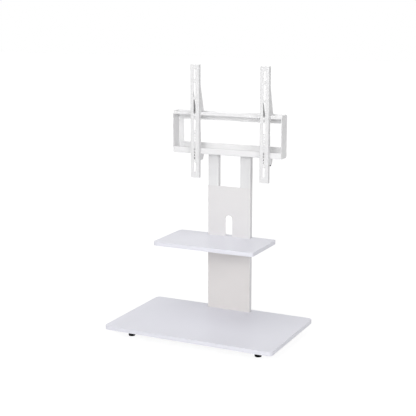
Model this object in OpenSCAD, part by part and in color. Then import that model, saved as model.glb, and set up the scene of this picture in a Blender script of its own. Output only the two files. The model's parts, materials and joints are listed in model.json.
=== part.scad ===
// Floor television stand: base board, shelf, twin-tube column and a hook-on bracket with two rails.
// Millimetres. The origin is on the floor under the middle of the base board.
// +Z is up and the front faces -Y.

/* [Base board and shelf] */
// width of the base board
base_w = 710; // [600:1:900]
// depth of the base board
base_d = 439; // [350:1:550]
// thickness of the base board and of the shelf
board_t = 16; // [12:0.5:25]
// corner radius of the base board
base_corner_r = 18; // [5:1:60]
// width of the shelf
shelf_w = 434; // [300:1:600]
// depth of the shelf
shelf_d = 244; // [180:1:350]
// corner radius of the shelf
shelf_corner_r = 15; // [5:1:50]
// sideways position of the shelf's middle, negative to the left
shelf_shift = -21; // [-40:1:40]
// how far the shelf's rear edge stands out behind the column
shelf_overhang = 11; // [0:1:30]

/* [Feet] */
// height of the board's underside above the floor
foot_h = 36; // [25:1:60]
// diameter of a foot pad
pad_d = 27; // [20:1:50]
// height of a foot pad's wide part
pad_h = 14; // [8:1:20]
// height of the slanted edges of a foot pad
pad_edge = 1.75; // [0.5:0.25:3]
// diameter of a foot pad's neck
neck_d = 18; // [12:1:26]
// height of a foot pad's neck
neck_h = 5; // [2:1:10]
// diameter of a foot stem
stem_d = 8; // [6:1:12]
// how deep a stem sits in its pad
stem_seat = 12; // [6:1:16]
// how far a stem reaches above the board's underside
stem_reach = 9; // [6:0.5:10]
// distance of a foot's axis from the board's side edge
foot_inset_x = 83; // [40:1:150]
// distance of a foot's axis from the board's front or rear edge
foot_inset_y = 75; // [40:1:150]
// outer diameter of a threaded insert's sleeve
insert_d = 12; // [10:0.5:16]
// length of a threaded insert's sleeve
insert_h = 14; // [8:1:15]
// diameter of a threaded insert's flange
insert_flange_d = 20; // [16:1:30]
// thickness of a threaded insert's flange
insert_flange_t = 1.5; // [1:0.5:3]

/* [Column] */
// overall width of the column
column_w = 187.5; // [150:0.5:250]
// width of an upright tube
upright_w = 46; // [30:1:60]
// depth of an upright tube
upright_d = 21.5; // [15:0.5:40]
// wall thickness of an upright tube
tube_t = 2; // [1:0.5:2.5]
// outer corner radius of an upright tube
tube_corner_r = 3; // [2.5:0.5:6]
// distance from the base board's rear edge to the column's rear face
column_setback = 16; // [5:1:60]
// length of a lower upright
lower_h = 294; // [200:1:400]
// length of an upper upright
upper_h = 337; // [250:1:500]
// thickness of a front panel
panel_t = 1.6; // [1:0.1:3]
// depth of a front panel's return flanges
panel_flange_d = 14; // [8:1:20]
// height of the upper front panel
upper_panel_h = 206.5; // [100:0.5:300]
// width of the cable notch in the upper panel
notch_w = 29.5; // [20:0.5:60]
// height of the cable notch
notch_h = 87.5; // [30:0.5:150]
// height of a tube plug
plug_h = 18; // [10:1:30]
// heights of a panel's screws, as shares of the panel's height
panel_screw_shares = [0.22, 0.78];
// place of a panel's screws across its return flange, as a share of the flange's depth
flange_screw_share = 0.55; // [0.4:0.05:0.7]

/* [Bracket frame] */
// overall width of the frame
frame_w = 473.5; // [400:0.5:600]
// overall height of the frame
frame_h = 169; // [120:1:300]
// overall depth of the frame
frame_d = 55; // [40:1:80]
// sheet thickness of the frame's parts
sheet_t = 2; // [1.5:0.5:2.5]
// width of an end bracket's rear flange
end_flange_w = 21; // [15:1:40]
// corner radius of an end bracket
end_corner_r = 8; // [3:1:12]
// outer bend radius of the folded bars and rails
fold_r = 3; // [2.5:0.5:5]
// height of the top bar's rear strip
top_strip_h = 36; // [30:1:60]
// height of the top bar's front lip
top_lip_h = 14; // [12:1:25]
// height of the bottom bar's rear strip
low_strip_h = 40; // [30:1:60]
// height of the bottom bar's front lip
low_lip_h = 24; // [15:1:35]
// heights of the rivets in the bottom bar's strip, as shares of its height from below
low_rivet_shares = [0.4, 0.8];
// heights of the rivets in the top bar's strip, as shares of its height from above
top_rivet_shares = [0.82, 0.52];

/* [Rails] */
// width of a rail's face
rail_w = 37; // [30:0.5:50]
// depth of a rail's side flanges above and below the hooks
rail_d = 17.7; // [12:0.1:30]
// length of a rail
rail_h = 452; // [446:1:500]
// sheet thickness of the rails
rail_t = 2; // [1.5:0.5:2.5]
// distance between the two rails' middles
rail_pitch = 300; // [200:1:400]
// sideways position of the point halfway between the rails
rail_shift = 21.5; // [-40:0.5:40]
// how far a rail reaches below the frame
rail_drop = 95; // [60:1:150]
// gap between a rail's back and the frame's front lips
rail_gap = 3; // [1:0.5:8]
// width of a rail's slots and of its large round hole
slot_w = 9; // [7:0.5:12]
// diameter of a small hole
small_d = 6; // [4:0.5:8]
// spacing of the small holes
small_pitch = 11.8; // [10:0.1:12.2]
// number of small holes
small_count = 11; // [4:1:11]
// height of the lowest small hole above the rail's lower end
small_low = 68; // [67:0.5:70]
// ends of the two lower slots, as heights above the rail's lower end
low_slots = [[23.5, 62], [192.5, 235]];
// ends of the three upper slots, as distances below the rail's upper end
high_slots = [[194.5, 137], [127.5, 70], [57, 18.5]];
// height of the round hole above the rail's lower end
round_at = 244; // [240:1:246]

/* [Hooks] */
// how far the widened part of a rail's flanges reaches above the frame
hook_rise = 110; // [60:1:150]
// how far a hook's tip lies behind the lip's front face
hook_reach = 26; // [15:1:40]
// height of a hook's tip above the frame
hook_tip_h = 4; // [2:1:10]
// how far the lower lobe reaches below the frame
lobe_drop = 25; // [15:1:40]
// how far the lower lobe lies behind the lip's front face
lobe_reach = 25; // [15:1:40]
// depth of the slanted corner under the lobe
lobe_bevel_d = 6; // [2:0.5:12]
// height of the slanted corner under the lobe
lobe_bevel_h = 15; // [2:0.5:20]
// height of the flange's edge step above the frame's underside
step_rise = 87; // [60:1:100]
// size of the small bevels on a hook
hook_bevel = 3; // [1:0.5:6]
// width of the tab folded inwards under the outer lobe
tab_w = 13.5; // [12:0.5:16]
// depth of the folded tab
tab_d = 18; // [14:1:18]

/* [Fasteners] */
// diameter of a tie rod
rod_d = 8; // [6:1:10]
// height of a tie rod's hexagon head
rod_head_h = 5.3; // [4:0.1:8]
// width across the corners of a tie rod's head
rod_head_d = 15; // [12:0.5:18]
// diameter of a tie rod's washer
rod_washer_d = 22; // [16:1:30]
// thickness of the washers
washer_t = 2; // [1:0.5:3]
// diameter of the recess for a tie rod's head
recess_d = 24; // [18:1:32]
// depth of the recess for a tie rod's head
recess_h = 8; // [7.5:0.5:10]
// diameter of a frame bolt
bolt_d = 6; // [5:1:8]
// diameter of a frame bolt's head
bolt_head_d = 10.5; // [9:0.5:14]
// height of a frame bolt's head
bolt_head_h = 3.3; // [2.5:0.1:6]
// length of a frame bolt's shank below its washer
bolt_l = 18; // [12:1:25]
// diameter of a frame bolt's washer
bolt_washer_d = 12.5; // [11:0.5:16]
// spacing of the two bolts in one upright
bolt_pitch = 24; // [18:1:28]
// diameter of a panel screw
screw_d = 4; // [3:0.5:5]
// diameter of a panel screw's head
screw_head_d = 7.6; // [6:0.1:9]
// height of a panel screw's head
screw_head_h = 2.2; // [1.5:0.1:3]
// diameter of a rivet
rivet_d = 5; // [3:0.5:6]
// diameter of a rivet's heads
rivet_head_d = 9; // [7:0.5:11]
// height of a rivet's heads
rivet_head_h = 1.2; // [0.8:0.1:2]
// diameter of a lock screw
lock_d = 5; // [4:0.5:6]
// diameter of a lock screw's head
lock_head_d = 7.5; // [7:0.5:12]
// height of a lock screw's head
lock_head_h = 3.7; // [3:0.1:8]
// diameter of the welded nut that carries a lock screw
nut_d = 8; // [7.5:0.5:8]
// height of the welded nut
nut_h = 5; // [4:0.5:6]
// distance of a lock screw's axis behind the lip's front face
lock_depth = 14; // [8:0.5:14]

/* [Fits] */
// gap all round between a plug and its tube
plug_fit = 0.1; // [0.05:0.05:0.3]
// radial gap of a thread in its nut or insert
thread_fit = 0.05; // [0.02:0.01:0.1]
// radial gap of a fastener in a plain hole
hole_fit = 0.5; // [0.2:0.1:1]
// radial gap of a rivet in its hole
rivet_fit = 0.05; // [0.02:0.01:0.1]
// gap between a rail's hooks and the lips they hang on
hang_fit = 0.6; // [0.3:0.1:1]
// gap of a lock screw's tip below the frame and of its head below the tab
lock_fit = 0.6; // [0.3:0.1:2]
// gap between a welded nut and the flange beside it
nut_fit = 0.3; // [0.1:0.1:1]
// gap between an end bracket's rear flange and the bars' floors
flange_fit = 0.5; // [0.2:0.1:2]

/* [Hidden] */
$fn = 64;
white = [0.86, 0.86, 0.87];
board_white = [0.8, 0.81, 0.84];
steel = [0.6, 0.61, 0.63];
black = [0.03, 0.03, 0.035];

// heights of the layers
base_top = foot_h + board_t;
shelf_bottom = base_top + lower_h;
shelf_top = shelf_bottom + board_t;
frame_bottom = shelf_top + upper_h;
frame_top = frame_bottom + frame_h;
top_floor = frame_top - top_lip_h;
rail_bottom = frame_bottom - rail_drop;

// depths of the layers
column_rear = base_d / 2 - column_setback;
tube_front = column_rear - upright_d;
tube_mid_y = column_rear - upright_d / 2;
lip_front = column_rear - frame_d;
lip_back = lip_front + sheet_t;
rail_back = lip_front - rail_gap;
rail_face = rail_back - rail_d;
shelf_mid_y = column_rear + shelf_overhang - shelf_d / 2;

// sideways positions
upright_x = (column_w - upright_w) / 2;
channel_x = column_w / 2 - upright_w;
foot_x = base_w / 2 - foot_inset_x;
foot_y = base_d / 2 - foot_inset_y;
rail_left_x = rail_shift - rail_pitch / 2;
rail_right_x = rail_shift + rail_pitch / 2;
frame_in_x = frame_w / 2 - sheet_t;
rivet_x = frame_in_x - end_flange_w / 2;

// heights of the frame's corner rivets, measured from its underside
flange_low = sheet_t + flange_fit;
flange_high = frame_h - top_lip_h - flange_fit;
low_rivets_at = [for (share = low_rivet_shares) share * low_strip_h];
top_rivets_at = [for (share = top_rivet_shares) frame_h - share * top_strip_h];

module rounded_plate(w, d, h, r) {
    cube_w = w - 2 * r;
    cube_d = d - 2 * r;
    linear_extrude(height = h) {
        square([cube_w, d], center = true);
        square([w, cube_d], center = true);
        for (sx = [-1, 1], sy = [-1, 1])
            translate([sx * cube_w / 2, sy * cube_d / 2])
                circle(r = r);
    }
}

// a round hole through a face that looks along Y
module face_hole(z, w, d) {
    translate([0, 0, z])
        rotate([-90, 0, 0])
            cylinder(h = d, r = w / 2);
}

// a round-ended slot through a face that looks along Y, given by its lower and upper end
module tall_slot(low, high, w, d) {
    r = w / 2;
    translate([-r, 0, low + r])
        cube([w, d, high - low - w]);
    for (z = [low + r, high - r])
        face_hole(z, w, d);
}

// a sheet folded once, seen along the fold, with the fold's outer side in the corner at the origin
module folded_sheet(w, h, t) {
    difference() {
        union() {
            translate([fold_r, 0])
                square([w - fold_r, h]);
            translate([0, fold_r])
                square([w, h - fold_r]);
            translate([fold_r, fold_r])
                circle(r = fold_r);
        }
        translate([fold_r, t])
            square([w, h]);
        translate([t, fold_r])
            square([w, h]);
        translate([fold_r, fold_r])
            circle(r = fold_r - t);
    }
}

// base board
module base_board() {
    color(board_white)
        difference() {
            translate([0, 0, foot_h])
                rounded_plate(base_w, base_d, board_t, base_corner_r);
            for (sx = [-1, 1]) {
                translate([sx * upright_x, tube_mid_y, 0])
                    cylinder(h = base_top + board_t, r = rod_d / 2 + hole_fit);
                translate([sx * upright_x, tube_mid_y, 0])
                    cylinder(h = foot_h + recess_h, r = recess_d / 2);
                for (sy = [-1, 1])
                    translate([sx * foot_x, sy * foot_y, 0])
                        cylinder(h = foot_h + insert_h, r = insert_d / 2);
            }
        }
}

// feet
module foot_inserts() {
    color(steel)
        for (sx = [-1, 1], sy = [-1, 1])
            translate([sx * foot_x, sy * foot_y, foot_h])
                difference() {
                    union() {
                        cylinder(h = insert_h, r = insert_d / 2);
                        translate([0, 0, -insert_flange_t])
                            cylinder(h = insert_flange_t, r = insert_flange_d / 2);
                    }
                    translate([0, 0, -insert_h])
                        cylinder(h = 3 * insert_h, r = stem_d / 2 + thread_fit);
                }
}

module foot_pad(sx, sy) {
    color(black)
        translate([sx * foot_x, sy * foot_y, 0])
            difference() {
                rotate_extrude()
                    polygon([[0, 0], [pad_d / 2 - pad_edge, 0], [pad_d / 2, pad_edge],
                        [pad_d / 2, pad_h - pad_edge], [pad_d / 2 - pad_edge, pad_h], [neck_d / 2, pad_h],
                        [neck_d / 2, pad_h + neck_h], [0, pad_h + neck_h]]);
                translate([0, 0, pad_h + neck_h - stem_seat])
                    cylinder(h = pad_h + neck_h, r = stem_d / 2);
            }
}

module foot_stem(sx, sy) {
    low = pad_h + neck_h - stem_seat;
    color(steel)
        translate([sx * foot_x, sy * foot_y, low])
            cylinder(h = foot_h + stem_reach - low, r = stem_d / 2);
}

module foot_pad_front_left() {
    foot_pad(-1, -1);
}

module foot_pad_front_right() {
    foot_pad(1, -1);
}

module foot_pad_rear_left() {
    foot_pad(-1, 1);
}

module foot_pad_rear_right() {
    foot_pad(1, 1);
}

module foot_stem_front_left() {
    foot_stem(-1, -1);
}

module foot_stem_front_right() {
    foot_stem(1, -1);
}

module foot_stem_rear_left() {
    foot_stem(-1, 1);
}

module foot_stem_rear_right() {
    foot_stem(1, 1);
}

// uprights
module tube(h) {
    difference() {
        rounded_plate(upright_w, upright_d, h, tube_corner_r);
        translate([0, 0, -h])
            rounded_plate(upright_w - 2 * tube_t, upright_d - 2 * tube_t, 3 * h, tube_corner_r - tube_t);
    }
}

// holes for the panel screws in a tube's inner side wall
module side_screw_holes(sx, heights) {
    for (z = heights)
        translate([sx * (channel_x + tube_t * 1.5), panel_screw_y, z])
            rotate([0, -sx * 90, 0])
                cylinder(h = 2 * tube_t, r = screw_d / 2 + thread_fit);
}

panel_screw_y = tube_front + flange_screw_share * panel_flange_d;
lower_screws_at = [for (share = panel_screw_shares) base_top + share * lower_h];
upper_screws_at = [for (share = panel_screw_shares) shelf_top + share * upper_panel_h];

module lower_upright(sx) {
    color(white)
        difference() {
            translate([sx * upright_x, tube_mid_y, base_top])
                tube(lower_h);
            side_screw_holes(sx, lower_screws_at);
        }
}

module upper_upright(sx) {
    color(white)
        difference() {
            translate([sx * upright_x, tube_mid_y, shelf_top])
                tube(upper_h);
            side_screw_holes(sx, upper_screws_at);
        }
}

module lower_upright_left() {
    lower_upright(-1);
}

module lower_upright_right() {
    lower_upright(1);
}

module upper_upright_left() {
    upper_upright(-1);
}

module upper_upright_right() {
    upper_upright(1);
}

module plug_block() {
    r = tube_corner_r - tube_t;
    wall = tube_t + plug_fit;
    rounded_plate(upright_w - 2 * wall, upright_d - 2 * wall, plug_h, r);
}

module lower_plugs() {
    color(steel)
        for (sx = [-1, 1], z = [base_top, shelf_bottom - plug_h])
            translate([sx * upright_x, tube_mid_y, z])
                difference() {
                    plug_block();
                    translate([0, 0, -plug_h])
                        cylinder(h = 3 * plug_h, r = rod_d / 2 + hole_fit);
                }
}

module anchor_plugs() {
    color(steel)
        for (sx = [-1, 1])
            translate([sx * upright_x, tube_mid_y, shelf_top])
                difference() {
                    plug_block();
                    translate([0, 0, -plug_h])
                        cylinder(h = 3 * plug_h, r = rod_d / 2 + thread_fit);
                }
}

module top_plugs() {
    color(steel)
        for (sx = [-1, 1])
            translate([sx * upright_x, tube_mid_y, frame_bottom - plug_h])
                difference() {
                    plug_block();
                    for (bx = [-1, 1])
                        translate([bx * bolt_pitch / 2, 0, -plug_h])
                            cylinder(h = 3 * plug_h, r = bolt_d / 2 + thread_fit);
                }
}

// tie rods
rod_seat = foot_h + recess_h - washer_t;

module tie_rods() {
    color(steel)
        for (sx = [-1, 1])
            translate([sx * upright_x, tube_mid_y, 0]) {
                translate([0, 0, rod_seat - rod_head_h])
                    cylinder(h = rod_head_h, r = rod_head_d / 2, $fn = 6);
                translate([0, 0, rod_seat - rod_head_h])
                    cylinder(h = shelf_top + plug_h - rod_seat + rod_head_h, r = rod_d / 2);
            }
}

module rod_washers() {
    color(steel)
        for (sx = [-1, 1])
            translate([sx * upright_x, tube_mid_y, rod_seat])
                difference() {
                    cylinder(h = washer_t, r = rod_washer_d / 2);
                    translate([0, 0, -washer_t])
                        cylinder(h = 3 * washer_t, r = rod_d / 2 + hole_fit / 2);
                }
}

// front panels
module panel_sheet(low, h, heights) {
    difference() {
        union() {
            translate([-column_w / 2, tube_front - panel_t, low])
                cube([column_w, panel_t, h]);
            for (sx = [-1, 1])
                translate([sx * (channel_x - panel_t / 2) - panel_t / 2, tube_front - panel_t, low])
                    cube([panel_t, panel_flange_d + panel_t, h]);
        }
        for (sx = [-1, 1], z = heights)
            translate([sx * (channel_x + tube_t), panel_screw_y, z])
                rotate([0, -sx * 90, 0])
                    cylinder(h = 2 * tube_t, r = screw_d / 2 + hole_fit / 2);
    }
}

module lower_panel() {
    color(white)
        panel_sheet(base_top, lower_h, lower_screws_at);
}

module upper_panel() {
    color(white)
        difference() {
            panel_sheet(shelf_top, upper_panel_h, upper_screws_at);
            translate([0, tube_front - 2 * panel_t, shelf_top])
                tall_slot(-notch_h, notch_h, notch_w, 3 * panel_t);
        }
}

module panel_screws() {
    color(steel)
        for (sx = [-1, 1], z = concat(lower_screws_at, upper_screws_at))
            translate([sx * (channel_x - panel_t), panel_screw_y, z])
                rotate([0, sx * 90, 0]) {
                    translate([0, 0, -screw_head_h])
                        cylinder(h = screw_head_h, r = screw_head_d / 2);
                    cylinder(h = panel_t + 2 * tube_t, r = screw_d / 2);
                }
}

// shelf
module shelf_board() {
    color(board_white)
        difference() {
            translate([shelf_shift, shelf_mid_y, shelf_bottom])
                rounded_plate(shelf_w, shelf_d, board_t, shelf_corner_r);
            for (sx = [-1, 1])
                translate([sx * upright_x, tube_mid_y, shelf_bottom - board_t])
                    cylinder(h = 3 * board_t, r = rod_d / 2 + hole_fit);
        }
}

// bracket frame
module strip_holes(heights) {
    for (sx = [-1, 1], z = heights)
        translate([sx * rivet_x, column_rear - 3 * sheet_t, frame_bottom + z])
            rotate([-90, 0, 0])
                cylinder(h = 4 * sheet_t, r = rivet_d / 2 + rivet_fit);
}

module frame_top_bar() {
    color(white)
        difference() {
            translate([-frame_in_x, lip_front, top_floor])
                rotate([90, 0, 90])
                    linear_extrude(height = 2 * frame_in_x) {
                        folded_sheet(frame_d, top_lip_h, sheet_t);
                        translate([frame_d - sheet_t, top_lip_h - top_strip_h])
                            square([sheet_t, top_strip_h]);
                    }
            strip_holes(top_rivets_at);
        }
}

module frame_bottom_bar() {
    color(white)
        difference() {
            translate([-frame_in_x, lip_front, frame_bottom])
                rotate([90, 0, 90])
                    linear_extrude(height = 2 * frame_in_x) {
                        folded_sheet(frame_d / 2, low_lip_h, sheet_t);
                        translate([frame_d, 0])
                            mirror([1, 0])
                                folded_sheet(frame_d / 2, low_strip_h, sheet_t);
                    }
            strip_holes(low_rivets_at);
            for (sx = [-1, 1], bx = [-1, 1])
                translate([sx * upright_x + bx * bolt_pitch / 2, tube_mid_y, frame_bottom - sheet_t])
                    cylinder(h = 3 * sheet_t, r = bolt_d / 2 + hole_fit / 2);
        }
}

module frame_end(sx) {
    mid_z = frame_bottom + frame_h / 2;
    flange_y = column_rear - 2 * sheet_t;
    color(white)
        difference() {
            union() {
                translate([sx * (frame_w - sheet_t) / 2 - sheet_t / 2, lip_front + frame_d / 2, mid_z])
                    rotate([0, 90, 0])
                        rounded_plate(frame_h, frame_d, sheet_t, end_corner_r);
                translate([sx * rivet_x - end_flange_w / 2, flange_y, frame_bottom + flange_low])
                    cube([end_flange_w, sheet_t, flange_high - flange_low]);
            }
            strip_holes(concat(low_rivets_at, top_rivets_at));
        }
}

module frame_end_left() {
    frame_end(-1);
}

module frame_end_right() {
    frame_end(1);
}

module rivet(grip) {
    translate([0, 0, -rivet_head_h])
        cylinder(h = rivet_head_h, r = rivet_head_d / 2);
    cylinder(h = grip, r = rivet_d / 2);
    translate([0, 0, grip])
        cylinder(h = rivet_head_h, r = rivet_head_d / 2);
}

module frame_rivets() {
    color(white)
        for (sx = [-1, 1], z = concat(low_rivets_at, top_rivets_at))
            translate([sx * rivet_x, column_rear, frame_bottom + z])
                rotate([90, 0, 0])
                    rivet(2 * sheet_t);
}

module frame_bolts() {
    seat = frame_bottom + sheet_t + washer_t;
    color(steel)
        for (sx = [-1, 1], bx = [-1, 1])
            translate([sx * upright_x + bx * bolt_pitch / 2, tube_mid_y, seat]) {
                cylinder(h = bolt_head_h, r = bolt_head_d / 2);
                translate([0, 0, -bolt_l])
                    cylinder(h = bolt_l, r = bolt_d / 2);
            }
}

module frame_washers() {
    color(steel)
        for (sx = [-1, 1], bx = [-1, 1])
            translate([sx * upright_x + bx * bolt_pitch / 2, tube_mid_y, frame_bottom + sheet_t])
                difference() {
                    cylinder(h = washer_t, r = bolt_washer_d / 2);
                    translate([0, 0, -washer_t])
                        cylinder(h = 3 * washer_t, r = bolt_d / 2 + hole_fit / 2);
                }
}

// rails
slot_ends = concat(low_slots, [for (s = high_slots) [rail_h - s[0], rail_h - s[1]]]);
clear_y = lip_front - hang_fit;
grip_y = lip_back + hang_fit;
tip_y = lip_front + hook_reach;
finger_z = top_floor + sheet_t + hang_fit;
lobe_y = lip_front + lobe_reach;
lobe_z = frame_bottom - lobe_drop;
tab_rear = lobe_y - lobe_bevel_d;
lock_offset = rail_w / 2 - rail_t - nut_fit - nut_d / 2;

// a rail seen from its side: its flanges widen into the lobe below and the hook above
module rail_outline() {
    polygon([
        [rail_face, rail_bottom],
        [rail_back, rail_bottom],
        [rail_back, lobe_z],
        [tab_rear, lobe_z],
        [lobe_y, lobe_z + lobe_bevel_h],
        [lobe_y, frame_bottom - hang_fit],
        [clear_y, frame_bottom - hang_fit],
        [clear_y, frame_bottom + step_rise],
        [rail_back, frame_bottom + step_rise + hook_bevel],
        [rail_back, top_floor - 3 * hook_bevel],
        [clear_y, top_floor - 2 * hook_bevel],
        [clear_y, frame_top + hang_fit],
        [grip_y, frame_top + hang_fit],
        [grip_y, finger_z],
        [tip_y - hook_bevel, finger_z],
        [tip_y, finger_z + hook_bevel],
        [tip_y, frame_top + hook_tip_h],
        [rail_back, frame_top + hook_rise],
        [rail_back, rail_bottom + rail_h],
        [rail_face, rail_bottom + rail_h]]);
}

// the folded sheet seen from above, open to the rear
module rail_fold() {
    reach = tip_y - rail_face;
    inner_w = rail_w - 2 * rail_t;
    difference() {
        union() {
            translate([-rail_w / 2, fold_r])
                square([rail_w, reach]);
            translate([fold_r - rail_w / 2, 0])
                square([rail_w - 2 * fold_r, fold_r]);
            for (sx = [-1, 1])
                translate([sx * (rail_w / 2 - fold_r), fold_r])
                    circle(r = fold_r);
        }
        translate([-inner_w / 2, fold_r])
            square([inner_w, 2 * reach]);
        translate([fold_r - rail_w / 2, rail_t])
            square([rail_w - 2 * fold_r, fold_r]);
        for (sx = [-1, 1])
            translate([sx * (rail_w / 2 - fold_r), fold_r])
                circle(r = fold_r - rail_t);
    }
}

// the tab lies under the flange on the side sx
module rail(x, sx) {
    tab_x = (rail_w - tab_w) / 2;
    color(white)
        difference() {
            union() {
                intersection() {
                    translate([x, rail_face, rail_bottom])
                        linear_extrude(height = rail_h)
                            rail_fold();
                    translate([x - rail_w, 0, 0])
                        rotate([90, 0, 90])
                            linear_extrude(height = 2 * rail_w)
                                rail_outline();
                }
                translate([x + sx * tab_x - tab_w / 2, tab_rear - tab_d, lobe_z])
                    cube([tab_w, tab_d, rail_t]);
            }
            translate([x, rail_face - rail_t, rail_bottom]) {
                for (s = slot_ends)
                    tall_slot(s[0], s[1], slot_w, 3 * rail_t);
                for (i = [0:small_count - 1])
                    face_hole(small_low + i * small_pitch, small_d, 3 * rail_t);
                face_hole(round_at, slot_w, 3 * rail_t);
            }
            translate([x + sx * lock_offset, lip_front + lock_depth, lobe_z - rail_t])
                cylinder(h = 3 * rail_t, r = lock_d / 2 + hole_fit / 2);
        }
}

module rail_left() {
    rail(rail_left_x, -1);
}

module rail_right() {
    rail(rail_right_x, 1);
}

// lock screws
module lock_nut(x, sx) {
    color(steel)
        translate([x + sx * lock_offset, lip_front + lock_depth, lobe_z + rail_t])
            difference() {
                cylinder(h = nut_h, r = nut_d / 2);
                translate([0, 0, -nut_h])
                    cylinder(h = 3 * nut_h, r = lock_d / 2 + thread_fit);
            }
}

module lock_screw(x, sx) {
    color(black)
        translate([x + sx * lock_offset, lip_front + lock_depth, lobe_z - lock_fit]) {
            translate([0, 0, -lock_head_h])
                cylinder(h = lock_head_h, r = lock_head_d / 2);
            cylinder(h = lobe_drop, r = lock_d / 2);
        }
}

module lock_nut_left() {
    lock_nut(rail_left_x, -1);
}

module lock_nut_right() {
    lock_nut(rail_right_x, 1);
}

module lock_screw_left() {
    lock_screw(rail_left_x, -1);
}

module lock_screw_right() {
    lock_screw(rail_right_x, 1);
}

base_board();
foot_inserts();
foot_pad_front_left();
foot_pad_front_right();
foot_pad_rear_left();
foot_pad_rear_right();
foot_stem_front_left();
foot_stem_front_right();
foot_stem_rear_left();
foot_stem_rear_right();
lower_upright_left();
lower_upright_right();
lower_plugs();
anchor_plugs();
top_plugs();
tie_rods();
rod_washers();
lower_panel();
upper_panel();
panel_screws();
shelf_board();
upper_upright_left();
upper_upright_right();
frame_top_bar();
frame_bottom_bar();
frame_end_left();
frame_end_right();
frame_rivets();
frame_bolts();
frame_washers();
rail_left();
rail_right();
lock_nut_left();
lock_nut_right();
lock_screw_left();
lock_screw_right();
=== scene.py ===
"""Looks of the television stand: white boards, white powder-coated steel, black feet and lock screws."""

import json
import math

import bmesh
import bpy
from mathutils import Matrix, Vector


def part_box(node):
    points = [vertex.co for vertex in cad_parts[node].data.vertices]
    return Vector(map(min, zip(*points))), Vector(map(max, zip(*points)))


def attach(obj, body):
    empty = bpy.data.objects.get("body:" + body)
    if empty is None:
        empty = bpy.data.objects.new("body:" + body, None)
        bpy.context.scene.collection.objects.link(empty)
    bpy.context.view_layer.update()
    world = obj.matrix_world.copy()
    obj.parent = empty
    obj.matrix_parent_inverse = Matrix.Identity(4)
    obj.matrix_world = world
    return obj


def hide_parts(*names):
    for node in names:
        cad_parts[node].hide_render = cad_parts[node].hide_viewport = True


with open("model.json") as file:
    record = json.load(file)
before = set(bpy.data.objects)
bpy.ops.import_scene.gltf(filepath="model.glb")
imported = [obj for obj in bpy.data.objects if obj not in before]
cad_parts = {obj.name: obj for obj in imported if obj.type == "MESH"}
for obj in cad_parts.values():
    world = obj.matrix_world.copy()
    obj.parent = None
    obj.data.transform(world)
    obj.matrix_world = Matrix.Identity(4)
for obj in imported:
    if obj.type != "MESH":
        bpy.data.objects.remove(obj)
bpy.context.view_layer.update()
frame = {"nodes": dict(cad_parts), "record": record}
nodes = frame["nodes"]
bodies = frame["record"]["behaviour"]["bodies"]
body_of = {node: body for body, members in bodies.items() for node in members}
slot_of = {part["node"]: part["material_slot"] for part in frame["record"]["subparts"]}
MM = 0.001
MERGE_GAP = 1e-6
SIDES = ("left", "right")


def middle(box):
    return (box[0] + box[1]) / 2


def reach(box):
    """How far a box reaches along each axis."""
    return box[1] - box[0]


# Node helpers
NOISE_SPAN = (0.3, 0.7)


class Tree:
    """Short calls for building a node tree."""

    def __init__(self, tree):
        self.tree = tree

    def add(self, kind, **settings):
        made = self.tree.nodes.new(kind)
        for key, value in settings.items():
            setattr(made, key, value)
        return made

    def join(self, source, target):
        self.tree.links.new(source, target)

    def axes(self, place):
        """The three coordinates of a place."""
        made = self.add("ShaderNodeSeparateXYZ")
        self.join(place, made.inputs[0])
        return made.outputs["X"], made.outputs["Y"], made.outputs["Z"]

    def noise(self, place, scale, detail=3.0):
        """Noise on the given coordinates, from nought to one and mostly near a half."""
        made = self.add("ShaderNodeTexNoise")
        made.inputs["Scale"].default_value = scale
        made.inputs["Detail"].default_value = detail
        self.join(place, made.inputs["Vector"])
        return made.outputs["Fac"]

    def span(self, value, low, high, from_low, from_high):
        """Spreads the stretch from from_low to from_high over the span from low to high."""
        made = self.add("ShaderNodeMapRange")
        made.inputs["From Min"].default_value = from_low
        made.inputs["From Max"].default_value = from_high
        made.inputs["To Min"].default_value = low
        made.inputs["To Max"].default_value = high
        self.join(value, made.inputs["Value"])
        return made.outputs["Result"]

    def uneven(self, place, scale, low=0.0, high=1.0, detail=3.0):
        """A value that wanders between low and high."""
        return self.span(self.noise(place, scale, detail), low, high, *NOISE_SPAN)

    def blend(self, share, first, second):
        """Mixes two plain colours by the share that a node gives."""
        made = self.add("ShaderNodeMix", data_type="RGBA")
        made.inputs["A"].default_value = (*first, 1)
        made.inputs["B"].default_value = (*second, 1)
        self.join(share, made.inputs["Factor"])
        return made.outputs["Result"]

    def mixed(self, share, first, second):
        """Mixes the colours of two other nodes."""
        made = self.add("ShaderNodeMix", data_type="RGBA")
        self.join(first, made.inputs["A"])
        self.join(second, made.inputs["B"])
        self.join(share, made.inputs["Factor"])
        return made.outputs["Result"]

    def product(self, first, second):
        made = self.add("ShaderNodeMath", operation="MULTIPLY")
        self.join(first, made.inputs[0])
        self.join(second, made.inputs[1])
        return made.outputs[0]

    def between(self, value, start, end):
        """One from the start's span to the end's, and nought outside them."""
        return self.product(self.span(value, 0.0, 1.0, *start), self.span(value, 1.0, 0.0, *end))

    def bump(self, height, distance, strength, under=None):
        made = self.add("ShaderNodeBump")
        made.inputs["Distance"].default_value = distance
        made.inputs["Strength"].default_value = strength
        self.join(height, made.inputs["Height"])
        if under is not None:
            self.join(under, made.inputs["Normal"])
        return made.outputs["Normal"]


class Reckon:
    """A number in a node tree, or one for every point, that sums can be made with."""

    def __init__(self, tree, socket):
        self.tree = tree
        self.socket = socket

    def combine(self, operation, *others):
        made = self.tree.add("ShaderNodeMath", operation=operation)
        for place, part in enumerate((self, *others)):
            if isinstance(part, Reckon):
                self.tree.join(part.socket, made.inputs[place])
            else:
                made.inputs[place].default_value = part
        return Reckon(self.tree, made.outputs[0])

    def __add__(self, other):
        return self.combine("ADD", other)

    def __sub__(self, other):
        return self.combine("SUBTRACT", other)

    def __mul__(self, other):
        return self.combine("MULTIPLY", other)

    def __truediv__(self, other):
        return self.combine("DIVIDE", other)


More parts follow.
